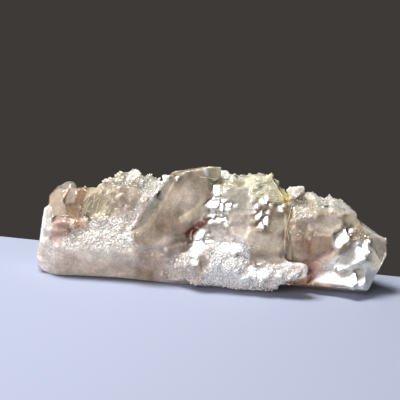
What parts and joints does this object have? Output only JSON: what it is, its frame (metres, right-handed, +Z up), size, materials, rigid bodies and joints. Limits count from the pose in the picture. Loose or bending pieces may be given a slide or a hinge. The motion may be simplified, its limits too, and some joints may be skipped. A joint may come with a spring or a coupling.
{
  "type": "smoky quartz crystal cluster",
  "caption": "Natural cluster of smoky and milky quartz crystals grown together, lying on its side on a flat resting face, for display.",
  "frame": {"origin": "centre of the cluster's bounding box, on the plane it rests on", "axes": "+X along the cluster towards its blunt clear crystal, -Y towards its show side, +Z up"},
  "size_m": [0.1297, 0.0485, 0.0438],
  "materials": {
    "smoky_quartz": "translucent, milky to smoky, with glossy crystal faces and glassy breaks"
  },
  "bodies": {
    "root": {"quartz_cluster": "smoky_quartz"}
  },
  "joints": []
}
